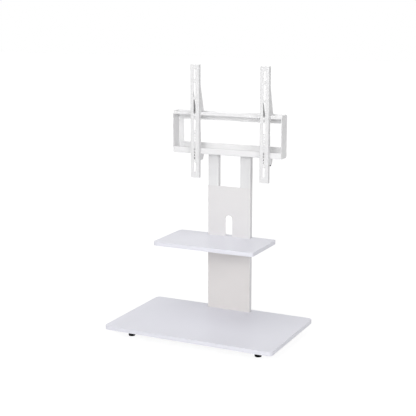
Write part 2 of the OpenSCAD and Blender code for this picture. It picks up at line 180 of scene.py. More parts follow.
def new_material(name):
    material = bpy.data.materials.new(name)
    material.use_nodes = True
    tree = Tree(material.node_tree)
    shader = material.node_tree.nodes["Principled BSDF"]
    place = tree.add("ShaderNodeTexCoord").outputs["Object"]
    return material, tree, shader, place


def fill_shader(tree, shader, colour, roughness, grain):
    tree.join(colour, shader.inputs["Base Color"])
    tree.join(roughness, shader.inputs["Roughness"])
    tree.join(grain, shader.inputs["Normal"])


# Tones of the finishes and of the painted shade and painted light, each from its dullest to its brightest
WHITE_COAT = ((0.765, 0.763, 0.77), (0.79, 0.788, 0.793))
FRAME_COAT = ((0.82, 0.818, 0.824), (0.842, 0.84, 0.846))
LOWER_PANEL_COAT = ((0.773, 0.744, 0.722), (0.796, 0.768, 0.745))
UPPER_PANEL_COAT = ((0.745, 0.732, 0.733), (0.768, 0.755, 0.756))
STRIP_PAINTED_LIGHT = ((0.92, 0.918, 0.922), (0.94, 0.938, 0.941))
RAIL_PAINTED_SHADE = ((0.2, 0.2, 0.2), (0.55, 0.55, 0.55))
DEEP_PAINTED_SHADE = ((0.07, 0.07, 0.07), (0.1, 0.1, 0.1))
BOARD_WHITE = ((0.79, 0.791, 0.852), (0.81, 0.811, 0.872))
ZINC = ((0.52, 0.53, 0.55), (0.68, 0.69, 0.7))
OXIDE = ((0.008, 0.008, 0.009), (0.02, 0.02, 0.022))
RUBBER = ((0.008, 0.008, 0.009), (0.018, 0.018, 0.019))
BOARD_SHINE = 0.25
OXIDE_SHINE = 0.2
RUBBER_SHINE = 0.1


def fade(start, *steps):
    """Where a patch fades in and where it fades out, from four steps in millimetres past a start."""
    begun, whole, waning, gone = (start + step * MM for step in steps)
    return (begun, whole), (waning, gone)


# Where the painted shade and painted light lie: on a rail measured from its face and foot,
# on the frame from its bottom bar's rear and foot
rail_low, rail_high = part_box("rail_right")
bar_low, bar_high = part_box("frame_bottom_bar")
HALF_RAIL = (rail_high.x - rail_low.x) / 2
SIDE_WALL = (HALF_RAIL - 1.7 * MM, HALF_RAIL - 0.3 * MM)
PAINTED_SHADE_DEPTHS = (rail_low.y + 10.2 * MM, rail_low.y + 24.2 * MM)
PAINTED_SHADE_HEIGHTS = (rail_low.z + 116 * MM, rail_low.z + 296 * MM)
HOLE_WALL = fade(rail_low.y, 0.5, 1.5, 1.8, 1.95)
HOLE_HEIGHTS = fade(rail_low.z, 72, 75, 119.5, 122.5)
CHANNEL_WALL = fade(rail_low.y, 1.5, 1.9, 18.2, 20.2)
CHANNEL_HEIGHTS = fade(rail_low.z, 94.5, 96.5, 119.5, 122.5)
STRIP_WALL = fade(bar_high.y, -7.5, -4.5, -1.3, -0.6)
STRIP_FOOT = (bar_low.z + 17.5 * MM, bar_low.z + 20.5 * MM)


def thin_coat(tree, place, coat, rail_middle):
    """The coat with painted shade inside a rail's channel.

    The inner sides of the hooks and lobes get a painted dark grey shade, darkest low down. The walls of
    the low holes and the channel behind the bottom bar get a painted near-black shade.
    """
    across, depth, height = tree.axes(place)
    aside = (Reckon(tree, across) - rail_middle).combine("ABSOLUTE")
    inside = tree.span(aside.socket, 1.0, 0.0, *SIDE_WALL)
    deep = tree.span(depth, 0.0, 1.0, *PAINTED_SHADE_DEPTHS)
    # Painted shade: dark grey on the inner sides of the hooks and lobes, darker towards the bottom
    shade_tone = tree.blend(tree.span(height, 0.0, 1.0, *PAINTED_SHADE_HEIGHTS), *RAIL_PAINTED_SHADE)
    shaded_coat = tree.mixed(tree.product(inside, deep), coat, shade_tone)
    deep_shade = tree.blend(tree.uneven(place, scale=120.0), *DEEP_PAINTED_SHADE)
    # Painted near-black shade in the walls of the low holes and in the channel behind the bottom bar
    for depths, heights in ((HOLE_WALL, HOLE_HEIGHTS), (CHANNEL_WALL, CHANNEL_HEIGHTS)):
        share = tree.product(tree.between(depth, *depths), tree.between(height, *heights))
        shaded_coat = tree.mixed(tree.product(inside, share), shaded_coat, deep_shade)
    return shaded_coat


def thick_coat(tree, place, coat, tone):
    """The coat with painted light: whiter on the rear strips' inner faces, clear of the bottom bar's fold.
    """
    depth, height = tree.axes(place)[1:]
    above = tree.span(height, 0.0, 1.0, *STRIP_FOOT)
    share = tree.product(tree.between(depth, *STRIP_WALL), above)
    return tree.mixed(share, coat, tree.blend(tone, *STRIP_PAINTED_LIGHT))


def powder_coat(name, tones, rail_middle=None, with_strip_light=False):
    """White powder coat: fine orange peel, a trace of tone and gloss variation."""
    material, tree, shader, place = new_material(name)
    tone = tree.uneven(place, scale=9.0)
    coat = tree.blend(tone, *tones)
    # On a rail, painted shade darkens the inside of the channel and the low holes
    if rail_middle is not None:
        coat = thin_coat(tree, place, coat, rail_middle)
    # On the frame, painted light makes the rear strips' inner faces whiter
    if with_strip_light:
        coat = thick_coat(tree, place, coat, tone)
    gloss = tree.uneven(place, scale=60.0, low=0.34, high=0.46)
    peel = tree.bump(tree.noise(place, scale=900.0, detail=2.0), distance=0.06 * MM, strength=0.5)
    grit = tree.noise(place, scale=3200.0, detail=1.0)
    fill_shader(tree, shader, coat, gloss, tree.bump(grit, distance=0.02 * MM, strength=0.4, under=peel))
    return material


def board_coat():
    """White gloss coat of the boards: nearly smooth, slightly cool, with long soft waves."""
    material, tree, shader, place = new_material("white_board_coat")
    tone = tree.blend(tree.uneven(place, scale=5.0), *BOARD_WHITE)
    gloss = tree.uneven(place, scale=8.0, low=0.29, high=0.32, detail=2.0)
    waves = tree.bump(tree.noise(place, scale=45.0, detail=1.0), distance=0.2 * MM, strength=0.04)
    peel = tree.noise(place, scale=700.0, detail=2.0)
    fill_shader(tree, shader, tone, gloss, tree.bump(peel, distance=0.02 * MM, strength=0.1, under=waves))
    shader.inputs["Specular IOR Level"].default_value = BOARD_SHINE
    return material


def zinc_plate():
    """Bright zinc on the fasteners and plugs: fine grain and uneven tone."""
    material, tree, shader, place = new_material("zinc_plate")
    tone = tree.blend(tree.uneven(place, scale=220.0, detail=4.0), *ZINC)
    gloss = tree.uneven(place, scale=400.0, low=0.26, high=0.42)
    grain = tree.noise(place, scale=2500.0)
    fill_shader(tree, shader, tone, gloss, tree.bump(grain, distance=0.02 * MM, strength=0.5))
    shader.inputs["Metallic"].default_value = 1.0
    return material


def black_finish():
    """Black finish of the lock screws: dark oxide with slightly lighter patches of wear."""
    material, tree, shader, place = new_material("black_finish")
    tone = tree.blend(tree.uneven(place, scale=350.0, detail=4.0), *OXIDE)
    gloss = tree.uneven(place, scale=500.0, low=0.32, high=0.5)
    grain = tree.noise(place, scale=3000.0)
    fill_shader(tree, shader, tone, gloss, tree.bump(grain, distance=0.02 * MM, strength=0.4))
    shader.inputs["Specular IOR Level"].default_value = OXIDE_SHINE
    return material


def pad_rubber():
    """Moulded black rubber of the foot pads: matt, finely grained, a little dusty."""
    material, tree, shader, place = new_material("pad_rubber")
    tone = tree.blend(tree.uneven(place, scale=160.0, detail=5.0), *RUBBER)
    gloss = tree.uneven(place, scale=300.0, low=0.55, high=0.75)
    grain = tree.noise(place, scale=1800.0)
    fill_shader(tree, shader, tone, gloss, tree.bump(grain, distance=0.08 * MM, strength=0.6))
    shader.inputs["Specular IOR Level"].default_value = RUBBER_SHINE
    return material


# The finish of each material slot, and of the nodes that have one of their own
finishes = {
    "white_steel": powder_coat("white_powder_coat", WHITE_COAT),
    "white_board": board_coat(),
    "zinc_steel": zinc_plate(),
    "black_steel": black_finish(),
    "black_rubber": pad_rubber(),
}
# The frame's coat, with painted light on its rear strips
frame_coat_with_painted_light = powder_coat("frame_coat_with_painted_light", FRAME_COAT, with_strip_light=True)
own_finishes = {
    "frame_top_bar": frame_coat_with_painted_light,
    "frame_bottom_bar": frame_coat_with_painted_light,
    "frame_end_left": frame_coat_with_painted_light,
    "frame_end_right": frame_coat_with_painted_light,
    "frame_rivets": frame_coat_with_painted_light,
    "lower_panel": powder_coat("lower_panel_coat", LOWER_PANEL_COAT),
    "upper_panel": powder_coat("upper_panel_coat", UPPER_PANEL_COAT),
}
for side in SIDES:
    rail = f"rail_{side}"
    # Each rail's coat carries painted shade inside its channel
    own_finishes[rail] = powder_coat(f"rail_coat_{side}", WHITE_COAT, rail_middle=middle(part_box(rail)).x)


def finish_of(node):
    return own_finishes.get(node, finishes[slot_of[node]])


def dress(mesh, finish):
    mesh.materials.clear()
    mesh.materials.append(finish)


for name, carried in nodes.items():
    dress(carried.data, finish_of(name))


# Making pieces
def add_object(name, data):
    made = bpy.data.objects.new(name, data)
    bpy.context.scene.collection.objects.link(made)
    return made


def settle(mesh, name, node):
    """Makes a finished piece of a mesh, which stands for a node on that node's body."""
    piece = add_object(name, mesh)
    dress(mesh, finish_of(node))
    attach(piece, body_of[node])
    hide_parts(node)


def smooth(mesh, sharpest):
    """Shades a mesh smooth but for the edges that turn more than the sharpest."""
    mesh.polygons.foreach_set("use_smooth", [True] * len(mesh.polygons))
    mesh.set_sharp_from_angle(angle=sharpest)


def applied(rough):
    """The plain mesh that a rough object's modifiers make; the object goes."""
    bpy.context.view_layer.update()
    graph = bpy.context.evaluated_depsgraph_get()
    mesh = bpy.data.meshes.new_from_object(rough.evaluated_get(graph))
    bpy.data.objects.remove(rough)
    return mesh


# Rounded edges: the boards' milled edges and the sheet parts' deburred ones
FLAT_TURN = math.radians(0.5)
FOLD_TURN = math.radians(30)
EDGE_TURN = math.radians(40)
BOARD_EASE = 1.6 * MM
BOARD_STEPS = 4
SHEET_EASE = 0.4 * MM
SHEET_STEPS = 2


def eased(node, radius, steps):
    """Stands for a node with every sharp edge rounded to the radius."""
    mesh = nodes[node].data.copy()
    work = bmesh.new()
    work.from_mesh(mesh)
    bmesh.ops.remove_doubles(work, verts=work.verts, dist=2 * MERGE_GAP)
    bmesh.ops.dissolve_limit(work, angle_limit=FLAT_TURN, verts=work.verts, edges=work.edges)
    work.to_mesh(mesh)
    work.free()
    smooth(mesh, FOLD_TURN)
    rough = add_object(node + "_rough", mesh)
    bevel = rough.modifiers.new("ease", "BEVEL")
    bevel.width = radius
    bevel.segments = steps
    bevel.limit_method = "ANGLE"
    bevel.angle_limit = EDGE_TURN
    bevel.use_clamp_overlap = True
    bevel.miter_outer = "MITER_ARC"
    bevel.harden_normals = True
    settle(applied(rough), node + "_eased", node)


for board in ("base_board", "shelf_board"):
    eased(board, BOARD_EASE, BOARD_STEPS)
for sheet in ("lower_panel", "upper_panel", "frame_top_bar", "frame_bottom_bar"):
    eased(sheet, SHEET_EASE, SHEET_STEPS)
for side in SIDES:
    for sheet in ("frame_end", "rail", "lower_upright", "upper_upright"):
        eased(f"{sheet}_{side}", SHEET_EASE, SHEET_STEPS)

# Turned and threaded pieces, made by node trees from named sizes
PLAIN = 1.0
HEXAGON = "hexagon"
CROSS = "cross"
SIXTH = math.pi / 3
FULL_TURN = 2 * math.pi
LEAST_WIDTH = 0.001
CURVE_TURN = math.radians(35)
ROWS_PER_TURN = 8.0
FLANK_STEEPNESS = 1.5
ROOT_SHARE = 0.25
POINT_SHARE = 1.5


def sized_tree(name, size_names):
    """An empty geometry tree with a named input for each size, and its inputs as numbers."""
    group = bpy.data.node_groups.new(name, "GeometryNodeTree")
    group.interface.new_socket("Places", in_out="INPUT", socket_type="NodeSocketGeometry")
    for size in size_names:
        group.interface.new_socket(size, in_out="INPUT", socket_type="NodeSocketFloat")
    group.interface.new_socket("Seed", in_out="INPUT", socket_type="NodeSocketInt")
    group.interface.new_socket("Finish", in_out="INPUT", socket_type="NodeSocketMaterial")
    group.interface.new_socket("Pieces", in_out="OUTPUT", socket_type="NodeSocketGeometry")
    tree = Tree(group)
    entry = tree.add("NodeGroupInput")
    sizes = {size: Reckon(tree, entry.outputs[size]) for size in size_names}
    return tree, entry, sizes


def by_row(tree, row, values):
    """The value of the ring that a point lies on."""
    chosen = tree.add("GeometryNodeIndexSwitch", data_type="FLOAT")
    while len(chosen.index_switch_items) < len(values):
        chosen.index_switch_items.new()
    tree.join(row.socket, chosen.inputs["Index"])
    for place, value in enumerate(values):
        socket = chosen.inputs[str(place)]
        if isinstance(value, Reckon):
            tree.join(value.socket, socket)
        else:
            socket.default_value = value
    return Reckon(tree, chosen.outputs[0])


def form_width(turn, form):
    """What a flat's distance is divided by to reach the outline of a hexagon or a cross at an angle."""
    if form == HEXAGON:
        folded = (turn + SIXTH / 2).combine("FLOORED_MODULO", SIXTH) - SIXTH / 2
        return folded.combine("COSINE")
    across = turn.combine("COSINE").combine("ABSOLUTE")
    along = turn.combine("SINE").combine("ABSOLUTE")
    return across.combine("MINIMUM", along).combine("MAXIMUM", LEAST_WIDTH)


def with_thread(tree, sizes, grid, row, turn, ring_count, radius, height):
    """Runs the surface on from its last ring along a thread that fades in, down to a pointed tip.

    The thread's cut is a wave with flat crests and roots, and the last row of points closes the tip.
    """
    pitch, length = sizes["Pitch"], sizes["Thread length"]
    outer, deep = sizes["Thread radius"], sizes["Thread depth"]
    steps = (length / pitch * ROWS_PER_TURN).combine("CEIL")
    row_count = steps + (ring_count + 2.0)
    tree.join(row_count.socket, grid.inputs["Vertices X"])
    step = (row - float(ring_count)).combine("MAXIMUM", 0.0).combine("MINIMUM", steps)
    fall = step * length / steps
    wave = (fall / pitch + turn / FULL_TURN).combine("FRACT") * 2.0 - 1.0
    crest = wave.combine("ABSOLUTE") * FLANK_STEEPNESS - ROOT_SHARE
    crest = crest.combine("MAXIMUM", 0.0).combine("MINIMUM", 1.0)
    cut = (crest * -1.0 + 1.0) * deep * (fall / pitch).combine("MINIMUM", 1.0)
    point = length - fall + outer - deep * POINT_SHARE
    spiral = (outer - cut).combine("MINIMUM", point) * row.combine("LESS_THAN", row_count - 1.5)
    on_thread = row.combine("GREATER_THAN", ring_count - 0.5)
    on_rings = on_thread * -1.0 + 1.0
    drop = sizes["Thread start"] - fall
    return radius * on_rings + spiral * on_thread, height * on_rings + drop * on_thread


def set_copies(tree, entry, shape):
    """Sets a finished copy of a shape on every place, turned by chance round its own axis."""
    facing = tree.add("GeometryNodeInputNamedAttribute", data_type="FLOAT_VECTOR")
    facing.inputs["Name"].default_value = "facing"
    heading = tree.add("FunctionNodeEulerToRotation")
    tree.join(facing.outputs["Attribute"], heading.inputs[0])
    copies = tree.add("GeometryNodeInstanceOnPoints")
    tree.join(entry.outputs["Places"], copies.inputs["Points"])
    tree.join(shape, copies.inputs["Instance"])
    tree.join(heading.outputs[0], copies.inputs["Rotation"])
    chance = tree.add("FunctionNodeRandomValue", data_type="FLOAT")
    chance.inputs[3].default_value = FULL_TURN
    tree.join(entry.outputs["Seed"], chance.inputs["Seed"])
    spin = tree.add("ShaderNodeCombineXYZ")
    tree.join(chance.outputs[1], spin.inputs["Z"])
    spun = tree.add("GeometryNodeRotateInstances")
    spun.inputs["Local Space"].default_value = True
    tree.join(copies.outputs[0], spun.inputs["Instances"])
    tree.join(spin.outputs[0], spun.inputs["Rotation"])
    solid = tree.add("GeometryNodeRealizeInstances")
    tree.join(spun.outputs[0], solid.inputs[0])
    finish = tree.add("GeometryNodeSetMaterial")
    tree.join(solid.outputs[0], finish.inputs["Geometry"])
    tree.join(entry.outputs["Finish"], finish.inputs["Material"])
    tree.join(finish.outputs[0], tree.add("NodeGroupOutput").inputs[0])


def turned_tree(name, size_names, outline, form=HEXAGON, around=24, threaded=False):
    """Turns an outline round the Z axis and sets a copy on every place.

    The outline is a function of the sizes. It gives rings of radius, height and the distance of the flats,
    from the end that looks along Z downwards, and PLAIN stands for a round ring. With a thread, a screw
    thread runs on from the last ring to the tip.
    """
    tree, entry, sizes = sized_tree(name, size_names)
    rings = outline(sizes)
    grid = tree.add("GeometryNodeMeshGrid")
    grid.inputs["Vertices X"].default_value = len(rings)
    grid.inputs["Vertices Y"].default_value = around + 1
    columns = around + 1.0
    index = Reckon(tree, tree.add("GeometryNodeInputIndex").outputs[0])
    row = ((index + 0.5) / columns).combine("FLOOR")
    turn = (index - row * columns) * (FULL_TURN / around)
    radius, height, flats = (by_row(tree, row, values) for values in zip(*rings))
    radius = radius.combine("MINIMUM", flats / form_width(turn, form))
    if threaded:
        radius, height = with_thread(tree, sizes, grid, row, turn, len(rings), radius, height)
    place = tree.add("ShaderNodeCombineXYZ")
    tree.join((radius * turn.combine("COSINE")).socket, place.inputs["X"])
    tree.join((radius * turn.combine("SINE")).socket, place.inputs["Y"])
    tree.join(height.socket, place.inputs["Z"])
    shaped = tree.add("GeometryNodeSetPosition")
    tree.join(grid.outputs["Mesh"], shaped.inputs["Geometry"])
    tree.join(place.outputs[0], shaped.inputs["Position"])
    closed = tree.add("GeometryNodeMergeByDistance")
    closed.inputs["Distance"].default_value = MERGE_GAP
    tree.join(shaped.outputs["Geometry"], closed.inputs["Geometry"])
    set_copies(tree, entry, closed.outputs["Geometry"])
    return tree.tree


def solids(node):
    """The lowest and the highest corner of each separate solid of a node, in a fixed order."""
    work = bmesh.new()
    work.from_mesh(nodes[node].data)
    bmesh.ops.remove_doubles(work, verts=work.verts, dist=2 * MERGE_GAP)
    left = set(work.verts)
    found = []
    while left:
        front = [left.pop()]
        corners = []
        while front:
            vert = front.pop()
            corners.append(tuple(vert.co))
            for edge in vert.link_edges:
                other = edge.other_vert(vert)
                if other in left:
                    left.remove(other)
                    front.append(other)
        lowest = Vector([min(axis) for axis in zip(*corners)])
        highest = Vector([max(axis) for axis in zip(*corners)])
        found.append((lowest, highest))
    work.free()
    return sorted(found, key=lambda box: tuple(round(value, 5) for value in box[0]))


def made_on(name, node, tree, sizes, spots, seed=1):
    """Grows a tree's pieces on their spots, each a place and the way that its Z axis points."""
    mesh = bpy.data.meshes.new(name + "_places")
    mesh.from_pydata([place for place, way in spots], [], [])
    facing = mesh.attributes.new("facing", "FLOAT_VECTOR", "POINT")
    for entry, (place, way) in zip(facing.data, spots):
        entry.vector = Vector(way).to_track_quat("Z", "Y").to_euler()
    rough = add_object(name + "_places", mesh)
    grower = rough.modifiers.new("grower", "NODES")
    given = {**sizes, "Seed": seed, "Finish": finish_of(node)}
    for item in tree.interface.items_tree:
        if item.in_out == "INPUT" and item.name in given:
            grower[item.identifier] = given[item.name]
    grower.node_group = tree
    made = applied(rough)
    smooth(made, CURVE_TURN)
    settle(made, name, node)


# Outlines of the turned pieces, with shares of a quarter round and of the heads' radius and height
QUARTER_SHARES = [round(math.sin(step * math.pi / 8), 3) for step in range(5)]
BUTTON_SHARES = ((0.62, 1.0), (0.78, 0.93), (0.9, 0.75), (0.98, 0.42), (1.0, 0.12), (0.98, 0.0))
PAN_SHARES = ((0.75, 0.97), (0.88, 0.86), (0.96, 0.66), (1.0, 0.4), (1.0, 0.08), (0.98, 0.0))
CAP_SHARES = ((0.86, 1.0), (0.95, 0.97), (1.0, 0.9), (1.0, 0.05), (0.98, 0.0))
BUTTON_MOUTH_SHARE = 0.97
CAP_MOUTH_SHARE = 0.98
CORNER_SHARE = 1.155


def dome(radius, height, start, way=1.0):
    """Rings of a dome from its middle to its rim."""
    rings = []
    for share, rise in zip(QUARTER_SHARES, reversed(QUARTER_SHARES)):
        rings.append((radius * share, height * (rise * way) + start, PLAIN))
    return rings


def rivet_outline(size):
    """A solid rivet: a dome on each side and a plain shank between, the first dome looking along Z."""
    back = size["Grip"] * -1.0
    front_dome = dome(size["Head radius"], size["Head height"], 0.0)
    rear_dome = dome(size["Head radius"], size["Head height"], back, -1.0)
    shank = [(size["Shank radius"], 0.0, PLAIN), (size["Shank radius"], back, PLAIN)]
    return front_dome + shank + rear_dome[::-1]


def socket_rings(size, mouth_share):
    """Rings of a hexagon socket, from its drilled bottom to its eased mouth in the head's top."""
    rise, flats = size["Head height"], size["Socket flats"]
    floor = rise - size["Socket depth"]
    rings = [(0.0, floor - flats * 0.35, PLAIN), (flats * 1.2, floor, flats)]
    return rings + [(flats * 1.2, rise * mouth_share, flats), (flats * 1.28, rise, flats * 1.08)]


def head_rings(size, shares):
    """Rings of a head's outside down to its seat on the XY plane, where the thread starts."""
    rings = [(size["Head radius"] * wide, size["Head height"] * high, PLAIN) for wide, high in shares]
    return rings + [(size["Thread radius"], 0.0, PLAIN)]


def button_bolt_outline(size):
    """A button head with a hexagon socket."""
    return socket_rings(size, BUTTON_MOUTH_SHARE) + head_rings(size, BUTTON_SHARES)


def cap_screw_outline(size):
    """A round cap head with a hexagon socket in its end."""
    return socket_rings(size, CAP_MOUTH_SHARE) + head_rings(size, CAP_SHARES)


def pan_screw_outline(size):
    """A pan head with a cross recess."""
    rise, arm, recess = size["Head height"], size["Recess width"], size["Recess radius"]
    rings = [(0.0, rise * 0.3, PLAIN), (recess * 0.45, rise * 0.38, arm * 0.8)]
    rings += [(recess, rise * 0.98, arm), (recess * 1.15, rise, PLAIN)]
    return rings + head_rings(size, PAN_SHARES)


def rod_outline(size):
    """A hexagon head with chamfered corners and a plain shank below it, up to where the thread starts."""
    flats, rise = size["Head flats"], size["Head height"]
    corners = flats * CORNER_SHARE
    rings = [(0.0, rise, PLAIN), (flats * 0.93, rise, PLAIN), (flats * 1.04, rise * 0.93, flats)]
    rings += [(corners * 1.01, rise * 0.8, flats), (corners * 1.01, rise * 0.04, flats)]
    rings += [(flats * 0.96, 0.0, PLAIN), (size["Thread radius"], 0.0, PLAIN)]
    return rings + [(size["Thread radius"], size["Thread start"], PLAIN)]


def stem_outline(size):
    """A threaded stem's blunt lower end, seen upside down because its thread runs to its tip."""
    end = size["Thread start"] + size["Thread depth"]
    return [(0.0, end, PLAIN), (size["Thread radius"] - size["Thread depth"], end, PLAIN)]


def collar_outline(size):
    """A washer or a plain nut: a bore, two faces and an outside with small chamfers."""
    ease = size["Chamfer"]
    inner, outer, rise = size["Bore radius"], size["Outer radius"], size["Height"]
    rings = [(inner, ease, PLAIN), (inner + ease, 0.0, PLAIN), (outer - ease, 0.0, PLAIN)]
    rings += [(outer, ease, PLAIN), (outer, rise - ease, PLAIN), (outer - ease, rise, PLAIN)]
    rings += [(inner + ease, rise, PLAIN), (inner, rise - ease, PLAIN), (inner, ease, PLAIN)]
    return rings[::-1]


def insert_outline(size):
    """A threaded insert: a thin flange below and a sleeve above it."""
    ease = size["Chamfer"]
    bore, sleeve, flange = size["Bore radius"], size["Sleeve radius"], size["Flange radius"]
    low, rise = size["Flange height"] * -1.0, size["Sleeve height"]
    rings = [(bore, low + ease, PLAIN), (bore + ease, low, PLAIN), (flange - ease, low, PLAIN)]
    rings += [(flange, low + ease, PLAIN), (flange, low * 0.2, PLAIN), (flange - ease * 0.6, 0.0, PLAIN)]
    rings += [(sleeve, 0.0, PLAIN), (sleeve, rise - ease, PLAIN), (sleeve - ease, rise, PLAIN)]
    rings += [(bore + ease, rise, PLAIN), (bore, rise - ease, PLAIN), (bore, low + ease, PLAIN)]
    return rings[::-1]


def pad_outline(size):
    """A foot pad: a flat puck with rounded edges, a neck and the seat of its stem."""
    wide, neck, seat = size["Pad radius"], size["Neck radius"], size["Stem radius"]
    rise, top, deep = size["Pad height"], size["Full height"], size["Seat height"]
    ease = size["Edge"]
    rings = [(0.0, 0.0, PLAIN)]
    for share, height in zip(QUARTER_SHARES, reversed(QUARTER_SHARES)):
        rings.append((wide - ease + ease * share, ease - ease * height, PLAIN))
    for share, height in zip(reversed(QUARTER_SHARES), QUARTER_SHARES):
        rings.append((wide - ease + ease * share, rise - ease + ease * height, PLAIN))
    rings += [(neck + ease * 0.5, rise, PLAIN), (neck, rise + ease * 0.4, PLAIN)]
    rings += [(neck, top - ease * 0.5, PLAIN), (neck - ease * 0.15, top - ease * 0.15, PLAIN)]
    rings += [(neck - ease * 0.5, top, PLAIN), (seat + ease * 0.2, top, PLAIN)]
    rings += [(seat, top - ease * 0.2, PLAIN), (seat, deep, PLAIN), (0.0, deep, PLAIN)]
    return rings[::-1]


HEAD = ["Head radius", "Head height"]
SOCKET = ["Socket flats", "Socket depth"]
RECESS = ["Recess radius", "Recess width"]
THREAD = ["Thread radius", "Thread depth", "Pitch", "Thread start", "Thread length"]
COLLAR = ["Bore radius", "Outer radius", "Height", "Chamfer"]
INSERT = ["Bore radius", "Sleeve radius", "Flange radius", "Flange height", "Sleeve height", "Chamfer"]
PAD = ["Pad radius", "Neck radius", "Stem radius", "Pad height", "Full height", "Seat height", "Edge"]
rivet_tree = turned_tree("rivet", HEAD + ["Shank radius", "Grip"], rivet_outline)
bolt_tree = turned_tree("button_bolt", HEAD + SOCKET + THREAD, button_bolt_outline, threaded=True)
screw_tree = turned_tree("pan_screw", HEAD + RECESS + THREAD, pan_screw_outline, form=CROSS, around=32,
                         threaded=True)
cap_tree = turned_tree("cap_screw", HEAD + SOCKET + THREAD, cap_screw_outline, threaded=True)
rod_tree = turned_tree("hexagon_rod", ["Head flats", "Head height"] + THREAD, rod_outline, threaded=True)
stem_tree = turned_tree("threaded_stem", THREAD, stem_outline, threaded=True)
collar_tree = turned_tree("collar", COLLAR, collar_outline, around=48)
insert_tree = turned_tree("threaded_insert", INSERT, insert_outline, around=48)
pad_tree = turned_tree("foot_pad", PAD, pad_outline, around=64)

# Fasteners and feet on the places of the solids that they stand for
UP = (0, 0, 1)
DOWN = (0, 0, -1)
FRONT = (0, -1, 0)
FEET = [f"{depth}_{side}" for depth in ("front", "rear") for side in SIDES]
M8 = {"Thread radius": 4 * MM, "Thread depth": 0.7 * MM, "Pitch": 1.25 * MM}
M6 = {"Thread radius": 3 * MM, "Thread depth": 0.55 * MM, "Pitch": 1.0 * MM}
M5 = {"Thread radius": 2.5 * MM, "Thread depth": 0.45 * MM, "Pitch": 0.8 * MM}
TAPPING = {"Thread radius": 2 * MM, "Thread depth": 0.5 * MM, "Pitch": 1.4 * MM}
RIVET_HEAD = 1.2 * MM
RIVET_SHANK = 2.5 * MM
BOLT_HEAD = 3.3 * MM
BOLT_SOCKET = {"Socket flats": 2 * MM, "Socket depth": 2 * MM}
SCREW_HEAD = 2.2 * MM
SCREW_RECESS = {"Recess radius": 2.1 * MM, "Recess width": 0.5 * MM}
ROD_HEAD = 5.3 * MM
ROD_THREAD = 30 * MM
FLAT_SHARE = math.cos(SIXTH / 2)
WASHER_EASE = 0.25 * MM
ROD_WASHER_BORE = 4.25 * MM
FRAME_WASHER_BORE = 3.25 * MM
NUT_EASE = 0.4 * MM
NUT_BORE = 2.55 * MM
INSERT_BORE = 4.05 * MM
INSERT_SLEEVE = 6 * MM
INSERT_FLANGE = 1.5 * MM
INSERT_EASE = 0.35 * MM
PAD_HEIGHT = 14 * MM
PAD_NECK = 9 * MM
PAD_EDGE = 1.75 * MM
LOCK_SEAT = 3.7 * MM
CAP_RADIUS = 4.75 * MM
CAP_HEIGHT = 5.2 * MM
CAP_SOCKET = {"Socket flats": 2 * MM, "Socket depth": 2.5 * MM}


def on_axis(box, height):
    """The place at a height on a box's upright middle line."""
    return (middle(box).x, middle(box).y, height)


def frame_rivets():
    boxes = solids("frame_rivets")
    spots = [((middle(box).x, box[0].y + RIVET_HEAD, middle(box).z), FRONT) for box in boxes]
    size = reach(boxes[0])
    given = {"Head radius": size.x / 2, "Head height": RIVET_HEAD, "Shank radius": RIVET_SHANK,
             "Grip": size.y - 2 * RIVET_HEAD}
    made_on("frame_rivet_heads", "frame_rivets", rivet_tree, given, spots)


def frame_bolts():
    boxes = solids("frame_bolts")
    spots = [(on_axis(box, box[1].z - BOLT_HEAD), UP) for box in boxes]
    size = reach(boxes[0])
    given = {**M6, **BOLT_SOCKET, "Head radius": size.x / 2, "Head height": BOLT_HEAD, "Thread start": 0.0,
             "Thread length": size.z - BOLT_HEAD}
    made_on("frame_button_bolts", "frame_bolts", bolt_tree, given, spots, seed=4)


def panel_screws():
    """The heads look at each other across the gap between the two uprights."""
    boxes = solids("panel_screws")
    spots = []
    for box in boxes:
        side = math.copysign(1, middle(box).x)
        inner_end = min(abs(box[0].x), abs(box[1].x))
        spots.append(((side * (inner_end + SCREW_HEAD), middle(box).y, middle(box).z), (-side, 0, 0)))
    size = reach(boxes[0])
    given = {**TAPPING, **SCREW_RECESS, "Head radius": size.y / 2, "Head height": SCREW_HEAD,
             "Thread start": 0.0, "Thread length": size.x - SCREW_HEAD}
    made_on("panel_pan_screws", "panel_screws", screw_tree, given, spots, seed=7)


def tie_rods():
    boxes = solids("tie_rods")
    spots = [(on_axis(box, box[0].z + ROD_HEAD), DOWN) for box in boxes]
    size = reach(boxes[0])
    shank = size.z - ROD_HEAD
    given = {**M8, "Head flats": max(size.x, size.y) / 2 * FLAT_SHARE, "Head height": ROD_HEAD,
             "Thread start": ROD_THREAD - shank, "Thread length": ROD_THREAD}
    made_on("hexagon_tie_rods", "tie_rods", rod_tree, given, spots, seed=9)


def collars(node, bore, ease):
    boxes = solids(node)
    spots = [(on_axis(box, box[0].z), UP) for box in boxes]
    size = reach(boxes[0])
    given = {"Bore radius": bore, "Outer radius": size.x / 2, "Height": size.z, "Chamfer": ease}
    made_on(node + "_turned", node, collar_tree, given, spots)


def foot_inserts():
    boxes = solids("foot_inserts")
    spots = [(on_axis(box, box[0].z + INSERT_FLANGE), UP) for box in boxes]
    size = reach(boxes[0])
    given = {"Bore radius": INSERT_BORE, "Sleeve radius": INSERT_SLEEVE, "Flange radius": size.x / 2,
             "Flange height": INSERT_FLANGE, "Sleeve height": size.z - INSERT_FLANGE, "Chamfer": INSERT_EASE}
    made_on("flanged_inserts", "foot_inserts", insert_tree, given, spots)


